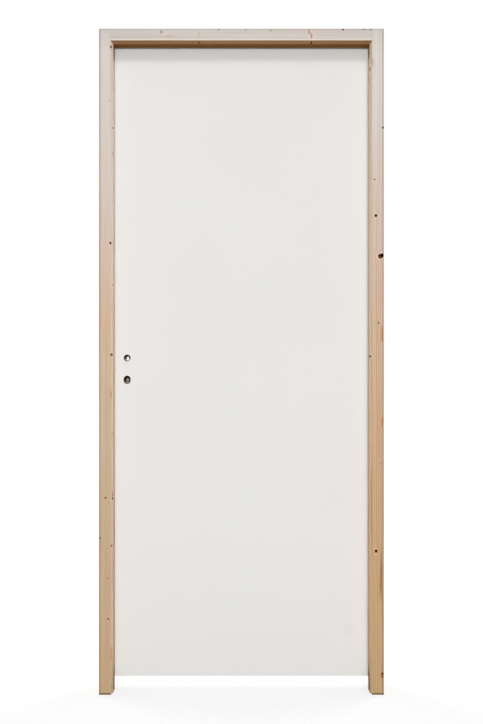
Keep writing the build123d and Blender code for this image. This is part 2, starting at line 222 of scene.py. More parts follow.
# %% Lamps
def sun(name, strength, softness, rise, right):
    """A sun that shines from above by rise and from the right by right; angles are in degrees."""
    data = bpy.data.lights.new(name, "SUN")
    data.energy = strength
    data.angle = math.radians(softness)
    lamp = bpy.data.objects.new(name, data)
    lamp.rotation_euler = (math.radians(90 - rise), 0, math.radians(right))
    scene.collection.objects.link(lamp)


LAMPS = {
    "key": (0.98, 15, 43.5, 9),
    "fill": (1.58, 7, 4, 0),
    "back right": (2.3, 40, 28, 120),
    "back left": (2.3, 40, 28, 240),
}
for name, setting in LAMPS.items():
    sun(name, *setting)
print("lamps", list(LAMPS))

# %% [markdown]
# ## Spruce
#
# The frame is planed, unfinished spruce. A photograph could be wrapped round it, but then the grain would
# break at each corner. Instead the timber is coloured as a solid: growth rings are distances from a pith
# line beside the board, so a face along them shows stripes, and a sawn end shows arcs. Slow noise makes the
# rings wander, fine stretched noise makes fibres, and knots are small ellipsoids set in the solid, with the
# grain spread round them. Long thin ones are streaks of resin. Painted shade darkens the outer arrises, the
# feet and the ends of the jambs' reveals. A painted highlight runs along the head's lower arris, painted light
# brightens the jambs' faces of the opening, and painted shade darkens the head's underside.


# %% Graphs that are used many times
def new_graph(name, given, result):
    """An empty group with its sockets; gives back the group and what it is given."""
    group = bpy.data.node_groups.new(name, "ShaderNodeTree")
    for label, kind in given:
        group.interface.new_socket(label, in_out="INPUT", socket_type="NodeSocket" + kind)
    group.interface.new_socket(result[0], in_out="OUTPUT", socket_type="NodeSocket" + result[1])
    return group, group.nodes.new("NodeGroupInput").outputs


PLACED = [(label, "Vector") for label in ("Place", "Centre", "Reach")]
print("graphs are given", [label for label, kind in PLACED])

# %% Knots
PALE_RING = (1.45, 1.50, 1.55, 1)
FRINGE = paint(196, 132, 88)
KNOT_YEARS = (0.58, 0.52, 0.48, 1)
BARK_RIM = (0.45, 0.4, 0.36, 1)


def knot_graph():
    """Tints a colour inside an ellipsoid: a ringed heart with a dark rim, or a soft streak."""
    tint = [(label, "Color") for label in ("Colour", "Heart")]
    tint += [(label, "Float") for label in ("Strength", "Wobble", "Streak")]
    group, given = new_graph("knot", PLACED + tint, ("Colour", "Color"))
    apart = vectors(group, "SUBTRACT", given["Place"], given["Centre"])
    away = vectors(group, "LENGTH", vectors(group, "DIVIDE", apart, given["Reach"]))
    reach = maths(group, "ADD", away, given["Wobble"])
    firm = maths(group, "MULTIPLY", maths(group, "SUBTRACT", 1.0, given["Streak"]), given["Strength"])
    soft = maths(group, "MULTIPLY", given["Streak"], given["Strength"])
    ring = maths(group, "MULTIPLY", ease(group, reach, 1.2, 1.5, 0.0, 0.2), ease(group, reach, 2.4, 1.7))
    ring = maths(group, "MULTIPLY", ring, firm)
    tinted = blend(group, ring, given["Colour"], PALE_RING, "MULTIPLY")
    fringe = maths(group, "MULTIPLY", ease(group, reach, 1.5, 1.05, 0.0, 0.7), firm)
    tinted = blend(group, fringe, tinted, blend(group, 0.5, given["Heart"], FRINGE), "DARKEN")
    heart = maths(group, "MULTIPLY", ease(group, reach, 1.15, 0.9), firm)
    streak = maths(group, "MULTIPLY", ease(group, reach, 1.3, 0.6), soft)
    tinted = blend(group, maths(group, "ADD", heart, streak), tinted, given["Heart"])
    years = maths(group, "SINE", maths(group, "MULTIPLY", reach, 22))
    years = maths(group, "MULTIPLY", ease(group, years, -0.3, 1.0, 0.0, 0.6), heart)
    tinted = blend(group, years, tinted, KNOT_YEARS, "MULTIPLY")
    rim = maths(group, "MULTIPLY", ease(group, reach, 0.55, 0.9, 0.0, 0.55), heart)
    tinted = blend(group, rim, tinted, blend(group, 1.0, given["Heart"], BARK_RIM, "MULTIPLY"))
    group.links.new(tinted, group.nodes.new("NodeGroupOutput").inputs[0])
    return group


KNOT = knot_graph()
HEARTS = {
    "red": paint(122, 58, 28),
    "dark": paint(34, 12, 2),
    "black": paint(9, 3, 1),
    "brown": paint(112, 70, 40),
    "orange": paint(192, 118, 62),
    "pink": paint(196, 152, 130),
    "resin": paint(146, 82, 36),
}
print("knot graph with", len(KNOT.nodes), "nodes, hearts", list(HEARTS))

# %% Grain round the knots
SPREAD = 0.7


def flow_graph():
    """Spreads the grain sideways near a knot, as wood grows round a branch."""
    group, given = new_graph("flow", PLACED, ("Place", "Vector"))
    apart = vectors(group, "SUBTRACT", given["Place"], given["Centre"])
    away = vectors(group, "LENGTH", vectors(group, "DIVIDE", apart, given["Reach"]))
    near = ease(group, away, 3.4, 0.5)
    shift = vectors(group, "MULTIPLY", vectors(group, "MULTIPLY", apart, (-SPREAD, 0, 0)), near)
    moved = vectors(group, "ADD", given["Place"], shift)
    group.links.new(moved, group.nodes.new("NodeGroupOutput").inputs[0])
    return group


FLOW = flow_graph()
print("flow graph with", len(FLOW.nodes), "nodes")

# %% Arrises and inner faces
FRAME_WIDTH, FRAME_HEIGHT = 0.892, 2.086
ARRIS_TOP = FRAME_HEIGHT + 0.002  # less of the arris shows along the top
ARRIS = (0.0062, 0.0034)  # how far the painted shade on the arris reaches in from the edge
FOOT = (0.0072, 0.0042)
HIGHLIGHT_LINE = (2.0535, 2.0515)  # heights of the painted highlight along the head's lower arris
STOP_BACK = (0.003, 0.001)  # depths at which the faces of the opening end
REVEAL_START = (-0.030, -0.027)
SHADED_FOOT, SHADED_TOP = (0.11, 0.03), (1.97, 2.03)
ARRIS_SHADE, FOOT_SHADE, REVEAL_END_SHADE = (0.66, 0.60, 0.54, 1), (0.42, 0.34, 0.27, 1), (0.24, 0.17, 0.11, 1)
ARRIS_HIGHLIGHT = paint(246, 226, 208)
UNSEEN = paint(208, 180, 148)


def worked_faces(tree, colour, axes, normal, across, outer, along, sides):
    """Painted shade on arrises, feet and reveal ends, a painted highlight under the head, and painted light or
    shade on the opening's splay and reveal.
    """
    front = ease(tree, normal[1], -0.5, -0.8)
    # painted shade along the outer and top arrises of the front
    edge = maths(tree, "ABSOLUTE", maths(tree, "SUBTRACT", across, outer))
    edge = maths(tree, "MINIMUM", edge, maths(tree, "SUBTRACT", ARRIS_TOP, axes[2]))
    arris = maths(tree, "MULTIPLY", ease(tree, edge, *ARRIS, 0.0, sides["arris"]), front)
    colour = blend(tree, arris, colour, ARRIS_SHADE, "MULTIPLY")
    # painted shade in a thin line along the feet of the front
    foot = maths(tree, "MULTIPLY", ease(tree, axes[2], *FOOT), front)
    colour = blend(tree, foot, colour, FOOT_SHADE, "MULTIPLY")
    # a painted highlight along the head's lower arris
    if along == "X":
        highlight = maths(tree, "MULTIPLY", ease(tree, axes[2], *HIGHLIGHT_LINE, 0.0, 0.75), front)
        colour = blend(tree, highlight, colour, ARRIS_HIGHLIGHT)

    # painted light brightens the jambs' splays, and painted shade darkens the head's underside
    inward = maths(tree, "MULTIPLY", normal[0 if along == "Z" else 2], sides["toward"])
    inside = ease(tree, inward, 0.5, 0.85)
    opening = maths(tree, "MULTIPLY", inside, ease(tree, axes[1], *STOP_BACK))
    colour = blend(tree, opening, colour, sides["splay"], "MULTIPLY")
    unseen = maths(tree, "SUBTRACT", 1.0, maths(tree, "MAXIMUM", front, inside))
    plain = blend(tree, 1.0, colour, UNSEEN, "DARKEN")
    colour = blend(tree, maths(tree, "MULTIPLY", unseen, 0.55), colour, plain)
    # painted shade darkens the reveal at the lock jamb and under the head, and painted light lifts it at the
    # hinge jamb
    reveal = maths(tree, "MULTIPLY", opening, ease(tree, axes[1], *REVEAL_START))
    colour = blend(tree, reveal, colour, sides["reveal"], "MULTIPLY")
    # painted shade on the ends of the jambs' reveals, under the head and at the foot
    if along == "Z":
        ends = [ease(tree, axes[2], *heights) for heights in (SHADED_FOOT, SHADED_TOP)]
        end_shading = ease(tree, maths(tree, "MAXIMUM", *ends), 0.0, 1.0, 0.0, sides["end_shade"])
        colour = blend(tree, maths(tree, "MULTIPLY", reveal, end_shading), colour, REVEAL_END_SHADE, "MULTIPLY")
    # a cap on the painted light of the opening's faces
    return blend(tree, opening, colour, sides["limit"], "DARKEN")


print("faces of a frame", FRAME_WIDTH, "wide and", FRAME_HEIGHT, "high")

# %% Where knots lie and how rings grow
KNOT_DEPTH = (4, 16)  # middle and reach behind the front face, in millimetres


def place_knots(knots, along, outer):
    """Knots from (length, inward) in millimetres to centres and sizes in the timber."""
    placed = []
    for height, inward, half_length, half_width, heart, strength, *depth in knots:
        middle, reach = depth or KNOT_DEPTH
        side = outer + math.copysign(inward / 1000, -outer - 0.4 if along == "Z" else -1)
        centre = (side, FRONT + middle / 1000, height / 1000)
        size = (half_width / 1000, reach / 1000, half_length / 1000)
        streak = max(half_length, half_width) > 3 * min(half_length, half_width)
        placed.append((centre, size, heart, strength, streak))
    return placed


def growth_rings(tree, flow, pith, ring_width):
    """Late wood from 0 to 1: it darkens slowly within a year, ends sharply, and some years have more."""
    wander = noise(tree, vectors(tree, "MULTIPLY", flow, (11, 11, 1.1)), detail=3)
    beside = vectors(tree, "MULTIPLY", vectors(tree, "SUBTRACT", flow, (*pith, 0)), (1, 1, 0))
    radius = maths(tree, "MULTIPLY_ADD", wander, 0.020, vectors(tree, "LENGTH", beside))
    rings = maths(tree, "DIVIDE", radius, ring_width)
    phase = maths(tree, "FRACT", rings)
    late = maths(tree, "MULTIPLY", ease(tree, phase, 0.25, 0.88), ease(tree, phase, 1.0, 0.92))
    count = {"W": maths(tree, "FLOOR", rings)}
    year = shader_node(tree, "ShaderNodeTexWhiteNoise", count, noise_dimensions="1D").outputs[0]
    return maths(tree, "MULTIPLY", late, ease(tree, year, 0.0, 1.0, 0.35, 1.0))


print("knots reach", KNOT_DEPTH[1], "mm into the wood unless they say otherwise")

# %% Spruce with rings, fibres and knots
LATE_WOOD = (0.74, 0.62, 0.47, 1)
ROSY, STRAW = (1.0, 0.93, 0.95, 1), (0.97, 0.98, 0.88, 1)
BANDS, FIBRES = (0.90, 0.82, 0.72, 1), (0.88, 0.84, 0.78, 1)
SAWN_END = (0.80, 0.72, 0.62, 1)


def spruce(name, along, tones, pith, ring_width, ring_contrast, knots=(), outer=0.0, sides=None):
    """Planed spruce whose grain runs along one axis, with its rings round a pith beside it."""
    material, tree, shader, place = finish(name)
    axes = shader_node(tree, "ShaderNodeSeparateXYZ", {0: place["Object"]}).outputs
    across, length = (axes[0], axes[2]) if along == "Z" else (axes[2], axes[0])
    grain = shader_node(tree, "ShaderNodeCombineXYZ", {0: across, 1: axes[1], 2: length}).outputs[0]

    placed = place_knots(knots, along, outer)
    flow = grain
    for centre, size, heart, strength, streak in placed:
        if not streak:
            round_it = {"Place": flow, "Centre": centre, "Reach": (size[0], size[1], 2 * size[2])}
            flow = shader_node(tree, "ShaderNodeGroup", round_it, FLOW).outputs[0]

    late = growth_rings(tree, flow, pith, ring_width)
    fibres = noise(tree, vectors(tree, "MULTIPLY", flow, (700, 700, 9)), detail=4)
    bands = noise(tree, vectors(tree, "MULTIPLY", flow, (90, 40, 1.3)), detail=3)
    share = maths(tree, "DIVIDE", length, FRAME_HEIGHT if along == "Z" else -FRAME_WIDTH)
    colour = ramp(tree, share, tones)
    shown = ease(tree, share, 0.8, 0.25, 0.5 * ring_contrast, ring_contrast)
    if along == "Z":
        shown = maths(tree, "MULTIPLY", shown, ease(tree, share, 0.95, 0.75, 0.35, 1.0))
    colour = blend(tree, maths(tree, "MULTIPLY", late, shown), colour, LATE_WOOD, "MULTIPLY")
    blush = noise(tree, vectors(tree, "MULTIPLY_ADD", grain, (60, 30, 4.5), (3, 7, 1)), detail=2)
    colour = blend(tree, ease(tree, blush, 0.50, 0.68, 0.0, 0.8), colour, ROSY, "MULTIPLY")
    colour = blend(tree, ease(tree, blush, 0.50, 0.32, 0.0, 0.8), colour, STRAW, "MULTIPLY")
    colour = blend(tree, ease(tree, bands, 0.45, 0.75, 0.0, 0.5), colour, BANDS, "MULTIPLY")
    colour = blend(tree, ease(tree, fibres, 0.35, 0.7, 0.0, 0.35), colour, FIBRES, "MULTIPLY")

    normal = shader_node(tree, "ShaderNodeSeparateXYZ", {0: place["Normal"]}).outputs
    if sides:
        colour = worked_faces(tree, colour, axes, normal, across, outer, along, sides)
    wobble = maths(tree, "MULTIPLY_ADD", noise(tree, grain, 190, 2), 0.5, -0.25)
    for centre, size, heart, strength, streak in placed:
        values = {"Place": grain, "Centre": centre, "Reach": size, "Colour": colour}
        values |= {"Heart": HEARTS[heart], "Strength": strength, "Wobble": wobble, "Streak": float(streak)}
        colour = shader_node(tree, "ShaderNodeGroup", values, KNOT).outputs[0]

    sawn = ease(tree, maths(tree, "ABSOLUTE", normal["XYZ".index(along)]), 0.6, 0.8)
    colour = blend(tree, sawn, colour, SAWN_END, "MULTIPLY")
    wire(tree, shader.inputs["Base Color"], colour)
    shader.inputs["Specular IOR Level"].default_value = 0.08
    paleness = shader_node(tree, "ShaderNodeRGBToBW", {0: colour}).outputs[0]
    matt_knots = ease(tree, paleness, 0.2, 0.02, 0.5, 1.0)
    matt_fibres = ease(tree, fibres, 0.2, 0.8, 0.56, 0.76)
    wire(tree, shader.inputs["Roughness"], maths(tree, "MAXIMUM", matt_knots, matt_fibres))
    bump(tree, shader, maths(tree, "MULTIPLY_ADD", late, -0.5, fibres), 0.0005)
    return material


print("spruce ready")

# %% Tones and knots of the lock jamb
LOCK_SIDE_TONES = [  # (share of the length, colour)
    (0.0, paint(195, 168, 135)), (0.25, paint(201, 177, 151)), (0.45, paint(208, 185, 162)),
    (0.58, paint(213, 186, 164)), (0.75, paint(215, 202, 195)), (0.87, paint(217, 208, 204)),
    (0.965, paint(216, 209, 206)), (1.0, paint(206, 200, 194)),
]
LOCK_SIDE_KNOTS = [  # (height, inward, half length, half width, heart, strength, and where not usual, depth)
    (2030, 36.7, 3.8, 2.8, "resin", 0.85), (1861, 33.5, 2.5, 2.0, "pink", 0.8),
    (1779, 43.0, 3.5, 3.0, "orange", 0.9), (1697, 43.5, 14, 3.0, "red", 0.9),
    (1415, 35.4, 4.0, 2.6, "red", 1.0), (1284, 43.0, 4.5, 2.2, "orange", 0.9),
    (1065, 38.5, 4.0, 2.8, "red", 0.75), (939, 36.7, 14, 1.8, "orange", 0.5),
    (814, 39.5, 8, 1.1, "orange", 0.6), (625, 41.5, 13, 2.4, "orange", 0.7),
    (617, 20.4, 3.4, 3.0, "red", 0.7), (613, 41.5, 3.0, 2.4, "red", 0.9), (491, 3.4, 2.4, 2.2, "dark", 0.9),
    (466, 38.2, 2.8, 2.3, "red", 0.65), (365, 25.7, 2.8, 2.4, "red", 0.45),
    (238, 29.1, 3.0, 2.6, "red", 0.9), (125, 38.2, 26, 1.6, "orange", 0.5),
    (1842, 4, 7, 9, "red", 0.9, 58, 6), (1518, 12, 5, 4, "brown", 0.9, 86, 6),
    (1204, 3, 5, 8, "brown", 0.8, 34, 6), (880, 2, 8, 9, "red", 0.9, 70, 6),
    (702, 16, 4, 4, "red", 0.9, 88, 6), (330, 3, 6, 9, "dark", 0.8, 46, 6),
]
print("lock side:", len(LOCK_SIDE_KNOTS), "knots and streaks")

# %% Tones and knots of the hinge jamb
HINGE_SIDE_TONES = [
    (0.0, paint(197, 168, 131)), (0.25, paint(205, 172, 138)), (0.45, paint(211, 182, 155)),
    (0.58, paint(213, 188, 168)), (0.75, paint(216, 199, 191)), (0.87, paint(219, 210, 209)),
    (0.965, paint(219, 213, 214)), (1.0, paint(208, 203, 198)),
]
HINGE_SIDE_KNOTS = [
    (1981, 33.8, 14, 4.0, "pink", 0.5), (1964, 43.5, 9, 3.0, "orange", 1.0),
    (1776, 2.8, 3.6, 2.8, "dark", 1.0), (1614, 29.5, 2.8, 2.4, "dark", 0.55),
    (1501, 25.0, 4.6, 3.8, "dark", 0.95), (1374, 10.5, 6.6, 6.8, "dark", 1.0),
    (1377, 5.0, 5.2, 4.4, "black", 1.0), (1373, 12.0, 1.5, 1.6, "orange", 0.8),
    (1165, 17.0, 2.8, 2.6, "brown", 0.8), (1129, 5.6, 27, 2.5, "orange", 1.0),
    (1060, 43.0, 4.2, 3.6, "black", 1.0), (856, 5.0, 18, 2.5, "orange", 1.0),
    (726, 11.5, 3.4, 3.0, "orange", 0.3), (450, 24.4, 5.0, 4.2, "red", 1.0),
    (450, 24.4, 3.0, 2.6, "dark", 1.0), (376, 9.0, 80, 2.0, "resin", 1.0), (330, 14, 30, 1.2, "resin", 0.5),
    (63, 4.0, 9.0, 4.6, "orange", 1.0), (66, 3.4, 3.0, 3.6, "dark", 0.9), (57, 4.6, 2.2, 3.0, "dark", 0.8),
    (1690, 3, 6, 9, "brown", 0.9, 62, 6), (1450, 9, 5, 4, "red", 0.9, 87, 6),
    (1240, 2, 7, 9, "red", 0.9, 40, 6), (905, 3, 5, 8, "brown", 0.8, 66, 6),
    (560, 8, 6, 5, "red", 0.9, 86, 6), (205, 3, 6, 9, "brown", 0.9, 50, 6),
]
print("hinge side:", len(HINGE_SIDE_KNOTS), "knots and streaks")

# %% Tones and knots of the head
HEAD_TONES = [
    (0.0, paint(209, 208, 204)), (0.3, paint(213, 207, 204)),
    (0.5, paint(214, 208, 206)), (1.0, paint(207, 199, 198)),
]
HEAD_KNOTS = [
    (-697, 10.3, 5.5, 4.4, "pink", 0.5), (-697, 9.6, 2.2, 2.4, "red", 0.15),
    (-672, 23, 14, 1.8, "pink", 0.5), (-579, 18, 1.6, 15, "pink", 0.6), (-580, 40, 2.2, 2.6, "dark", 0.6),
    (-517, 3.5, 2.2, 2.2, "brown", 0.6), (-432, 3.5, 1.8, 3.5, "brown", 0.4),
    (-354, 5, 1.8, 4.5, "brown", 0.4), (-234, 9, 3.0, 8, "pink", 0.65), (-227, 22, 3.0, 8, "pink", 0.55),
    (-226, 26, 1.6, 5, "red", 0.25), (-226, 41, 2.8, 3.2, "dark", 0.65),
    (-128, 3.0, 3.4, 2.6, "dark", 0.75), (-62, 1.8, 7, 1.4, "dark", 0.8), (-38, 1.8, 9, 1.4, "dark", 0.8),
    (-640, 5, 6, 7, "red", 0.9, 70, 6), (-300, 9, 5, 5, "brown", 0.9, 86, 6),
    (-480, 3, 6, 8, "brown", 0.8, 48, 6), (-679, 45, 3.4, 3, "dark", 0.6, 34, 8),
]
print("head:", len(HEAD_KNOTS), "knots and streaks")


# %% Spruce of the three timbers
def opening_faces(arris, toward, splay, reveal, limit, end_shade=0.0):
    """Strengths of painted shade on arrises and reveal ends, tones of painted light and shade on splay and
    reveal, and a cap on them; toward is the sign of the way into the opening.
    """
    tones = {"splay": (*splay, 1), "reveal": (*reveal, 1), "limit": (*limit, 1)}
    return {"arris": arris, "toward": toward, "end_shade": end_shade, **tones}


# painted light and shade on the faces of the opening, and how strong the painted shade is on arrises and
# reveal ends
LOCK_FACES = opening_faces(0.9, 1, (1.58, 1.60, 1.62), (0.90, 0.86, 0.79), (0.92, 0.78, 0.66), 0.75)
HINGE_FACES = opening_faces(0.9, -1, (1.46, 1.47, 1.45), (1.06, 1.00, 0.90), (0.88, 0.71, 0.53), 0.9)
HEAD_FACES = opening_faces(0.5, -1, (0.74, 0.45, 0.24), (0.58, 0.42, 0.12), (0.88, 0.82, 0.76))
LOCK_PITH, HINGE_PITH, HEAD_PITH = (-0.955, 0.03), (0.07, -0.02), (2.16, 0.02)
lock_side_spruce = spruce(
    "lock_side_spruce", "Z", LOCK_SIDE_TONES, LOCK_PITH, 0.0042, 0.55,
    LOCK_SIDE_KNOTS, -FRAME_WIDTH, LOCK_FACES)
hinge_side_spruce = spruce(
    "hinge_side_spruce", "Z", HINGE_SIDE_TONES, HINGE_PITH, 0.0066, 0.9,
    HINGE_SIDE_KNOTS, 0.0, HINGE_FACES)
head_spruce = spruce(
    "head_spruce", "X", HEAD_TONES, HEAD_PITH, 0.0040, 0.5,
    HEAD_KNOTS, FRAME_HEIGHT, HEAD_FACES)
print("spruce made:", [wood.name for wood in (lock_side_spruce, hinge_side_spruce, head_spruce)])

# %% [markdown]
# ## The frame's timbers
#
# The lock jamb is one length of timber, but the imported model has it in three, so that the strike's pockets
# stay open for collision. Three solids end to end would show their cuts once the arrises are eased. So their
# meshes are joined, the cut faces taken out and the seam welded. Hinge jamb and head keep their own solids.


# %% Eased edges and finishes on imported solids
SAME_PLACE = 0.00001
PLANED, PLATED, STAMPED = 0.0006, 0.0003, 0.0002  # widths of eased edges


def ease_edges(piece, width):
    """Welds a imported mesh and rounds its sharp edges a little, as sanding does."""
    weld = piece.modifiers.new("weld", "WELD")
    weld.merge_threshold = SAME_PLACE
    arris = piece.modifiers.new("arris", "BEVEL")
    arris.width = width
    arris.segments = 2
    arris.limit_method = "ANGLE"
    arris.angle_limit = math.radians(35)
    arris.use_clamp_overlap = False
    arris.harden_normals = False
    piece.modifiers.new("normals", "WEIGHTED_NORMAL").keep_sharp = True


def dress(name, material, width=0.0):
    """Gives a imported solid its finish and, where width is set, eased edges."""
    piece = nodes[name]
    piece.data.materials.clear()
    piece.data.materials.append(material)
    if width:
        ease_edges(piece, width)


dress("hinge_jamb", hinge_side_spruce, PLANED)
dress("head", head_spruce, PLANED)
print("hinge jamb and head dressed")


# %% Lock jamb in one length
def one_length(name, parts):
    """One mesh from lengths of the same timber that stand end to end."""
    joined = bmesh.new()
    for part in parts:
        joined.from_mesh(nodes[part].data)
    bmesh.ops.remove_doubles(joined, verts=joined.verts, dist=SAME_PLACE)
    for part in parts[:-1]:
        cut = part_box(part)[1].z
        inside = [f for f in joined.faces if all(abs(v.co.z - cut) < SAME_PLACE for v in f.verts)]
        bmesh.ops.delete(joined, geom=inside, context="FACES")
    bmesh.ops.dissolve_limit(joined, angle_limit=0.002, verts=joined.verts, edges=joined.edges)
    mesh = bpy.data.meshes.new(name)
    joined.to_mesh(mesh)
    joined.free()
    piece = bpy.data.objects.new(name, mesh)
    scene.collection.objects.link(piece)
    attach(piece, "frame")
    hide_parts(*parts)
    return piece


lock_jamb = one_length("lock_jamb", ["lock_jamb_lower", "lock_jamb_middle", "lock_jamb_upper"])
lock_jamb.data.materials.append(lock_side_spruce)
ease_edges(lock_jamb, PLANED)
print("lock jamb in one length,", len(lock_jamb.data.polygons), "faces")

# %% [markdown]
# ## The leaf
#
# Both faces are thin hardboard that the maker has primed white with a roller: it is matt, with a fine
# stipple and very faint clouds. A flat colour would look like plastic. Where the board is cut, at the edges
# and in the lock holes, its brown fibre shows, so the finish asks which way a surface faces on the leaf.


# %% Primed hardboard
PRIMER, PRIMER_CLOUD, PRIMER_LOW = paint(224, 223, 221), paint(225, 224, 222), paint(222, 221, 218)
SMUDGE, SMUDGE_PLACE = paint(209, 207, 203), (-0.105, 0.005, 0.190)
FIBRE_DARK, FIBRE_LIGHT = paint(112, 78, 50), paint(150, 112, 76)


def primed_board():
    """Rolled primer on the faces and bare fibre on the cut edges."""
    material, tree, shader, place = finish("primed_board")
    clouds = noise(tree, place["Object"], 2.2, 3)
    laps = noise(tree, vectors(tree, "MULTIPLY", place["Object"], (16, 1, 1.6)), 1, 2)
    stipple = noise(tree, place["Object"], 1100, 3)
    primer = blend(tree, ease(tree, clouds, 0.35, 0.65), PRIMER, PRIMER_CLOUD)
    primer = blend(tree, ease(tree, laps, 0.4, 0.7, 0.0, 0.4), primer, PRIMER)
    height = shader_node(tree, "ShaderNodeSeparateXYZ", {0: place["Object"]}).outputs[2]
    primer = blend(tree, ease(tree, height, 0.55, 0.05, 0.0, 0.6), primer, PRIMER_LOW)
    smudge = vectors(tree, "LENGTH", vectors(tree, "SUBTRACT", place["Object"], SMUDGE_PLACE))
    primer = blend(tree, ease(tree, smudge, 0.024, 0.008, 0.0, 0.25), primer, SMUDGE)

    specks = noise(tree, place["Object"], 900, 4)
    fibre = blend(tree, ease(tree, specks, 0.35, 0.65), FIBRE_DARK, FIBRE_LIGHT)
    facing = shader_node(tree, "ShaderNodeSeparateXYZ", {0: place["Normal"]}).outputs[1]
    on_face = ease(tree, maths(tree, "ABSOLUTE", facing), 0.55, 0.75)
    wire(tree, shader.inputs["Base Color"], blend(tree, on_face, fibre, primer))
    shader.inputs["Specular IOR Level"].default_value = 0.25
    wire(tree, shader.inputs["Roughness"], ease(tree, on_face, 0.0, 1.0, 0.85, 0.58))
    bump(tree, shader, stipple, 0.00008)
    return material


board = primed_board()
dress("front_skin", board)
dress("back_skin", board)

# %% [markdown]
# ## Inside the leaf
#
# Between the skins are softwood stiles and rails round a pressed core, and two blocks for the lock. They
# show on the leaf's edges, and round the wall of each lock hole. The stiles take plain spruce of their own.

# %% Stiles, rails and blocks
LEAF_TONES = [(0.0, paint(196, 160, 118)), (0.5, paint(202, 168, 128)), (1.0, paint(198, 164, 124))]
STILE_PITH, RAIL_PITH = (-0.42, 0.19), (1.0, 0.16)
stile_spruce = spruce("stile_spruce", "Z", LEAF_TONES, STILE_PITH, 0.0034, 0.8)
rail_spruce = spruce("rail_spruce", "X", LEAF_TONES, RAIL_PITH, 0.0036, 0.8)
for name in ("lock_stile", "hinge_stile", "lock_block_lower", "lock_block_upper"):
    dress(name, stile_spruce)
for name in ("top_rail", "bottom_rail"):
    dress(name, rail_spruce)
print("stiles, rails and blocks dressed")


# %% Pressed core
CHIP_DARK, CHIP_LIGHT = paint(150, 118, 78), paint(198, 168, 122)


def pressed_core():
    """Flax and wood chips pressed into a board."""
    material, tree, shader, place = finish("pressed_core")
    cells = {"Vector": place["Object"], "Scale": 260}
    chips = shader_node(tree, "ShaderNodeTexVoronoi", cells).outputs["Color"]
    tone = shader_node(tree, "ShaderNodeSeparateColor", {0: chips}).outputs[0]
    wire(tree, shader.inputs["Base Color"], blend(tree, tone, CHIP_DARK, CHIP_LIGHT))
    shader.inputs["Roughness"].default_value = 0.85
    bump(tree, shader, tone, 0.0004)
    return material


dress("core", pressed_core())
print("leaf filled")

# %% [markdown]
# ## Metal
#
# Hinges, forend and strike are zinc-plated steel, the bolts die-cast, the follower and levers sintered steel,
# the hinge washers brass, and the lock's case plain plate. All are one kind of surface with other colours:
# metal that is slightly cloudy and brushed along one way, so one function makes them. The upper half of each
# lock hole lies in shade, and painted shade on the metal there makes it black.


# %% Plated and cast metal
HOLE_SHADE = paint(20, 15, 11)


def metal(name, light, dark, gloss, brushed, hole_shade=None):
    """Metal with clouds in its colour and brush lines in its gloss; the last argument gives the heights at
    which painted shade sets in.
    """
    material, tree, shader, place = finish(name)
    clouds = noise(tree, place["Object"], 190, 3)
    lines = noise(tree, vectors(tree, "MULTIPLY", place["Object"], brushed), 1, 3)
    colour = blend(tree, ease(tree, clouds, 0.3, 0.7), paint(*dark), paint(*light))
    if hole_shade:
        height = shader_node(tree, "ShaderNodeSeparateXYZ", {0: place["Object"]}).outputs[2]
        # painted shade over the upper part of the lock holes
        colour = blend(tree, ease(tree, height, *hole_shade), colour, HOLE_SHADE)
    wire(tree, shader.inputs["Base Color"], colour)
    shader.inputs["Metallic"].default_value = 1.0
    wire(tree, shader.inputs["Roughness"], ease(tree, lines, 0.25, 0.75, *gloss))
    bump(tree, shader, lines, 0.00004)
    return material


EVEN = (900, 900, 900)  # a surface that isn't brushed
KEY_HOLE_SHADE, SPINDLE_HOLE_SHADE = (0.974, 0.982), (1.0465, 1.0565)  # heights at which the painted shade in the holes sets in
zinc = metal("zinc_plate", (202, 202, 199), (191, 192, 191), (0.3, 0.44), (2600, 2600, 60))
lock_plate = metal("lock_plate", (118, 106, 88), (100, 90, 76), (0.42, 0.6), (60, 2400, 2400), KEY_HOLE_SHADE)
cast = metal("die_cast", (214, 213, 210), (202, 201, 199), (0.38, 0.5), EVEN)
sintered = metal("sintered_steel", (84, 82, 81), (62, 61, 60), (0.36, 0.5), EVEN)
hub_steel = metal("hub_steel", (150, 148, 145), (132, 130, 128), (0.36, 0.5), EVEN, SPINDLE_HOLE_SHADE)
brass = metal("brass", (204, 174, 108), (188, 156, 92), (0.28, 0.42), (1800, 1800, 200))
print("metals ready")

# %% Metal on hinges, strike and lock
HINGE_MIDDLES = {"bottom": 260, "middle": 1047.5, "top": 1835}  # heights in millimetres
for place_name in HINGE_MIDDLES:
    dress(f"hinge_frame_half_{place_name}", zinc, PLATED)
    dress(f"hinge_leaf_half_{place_name}", zinc, PLATED)
    dress(f"hinge_washer_{place_name}", brass, STAMPED)
for name in ("strike_plate", "lock_forend"):
    dress(name, zinc, STAMPED)
for name in ("lock_case", "lock_cover"):
    dress(name, lock_plate, STAMPED)
for name in ("latch_bolt", "dead_bolt"):
    dress(name, cast, PLATED)
dress("follower", hub_steel, PLATED)
metals = {zinc, lock_plate, cast, hub_steel, brass}
print("metal on", sum(1 for piece in nodes.values() if metals & set(piece.data.materials)), "solids")

# %% [markdown]
# ## Levers and screws
#
# Behind the keyway a lock has a stack of thin levers; without them one could look right through the leaf.
# Each is a flat plate with cut corners and a gate for the bolt's stump, drawn as an outline and pushed to its
# thickness. Hinge flanges, forend and strike are held by countersunk screws with a cross recess. A boolean
# cut could make the recess, but it is slow and leaves ragged faces, so the head's face is filled between its
# rim and a cross outline, and the cross is pushed in.


# %% Levers behind the keyway
def new_piece(name, shape, material, body):
    """Turns a finished bmesh into a piece that moves with its body."""
    mesh = bpy.data.meshes.new(name)
    shape.to_mesh(mesh)
    shape.free()
    mesh.materials.append(material)
    piece = bpy.data.objects.new(name, mesh)
    scene.collection.objects.link(piece)
    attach(piece, body)


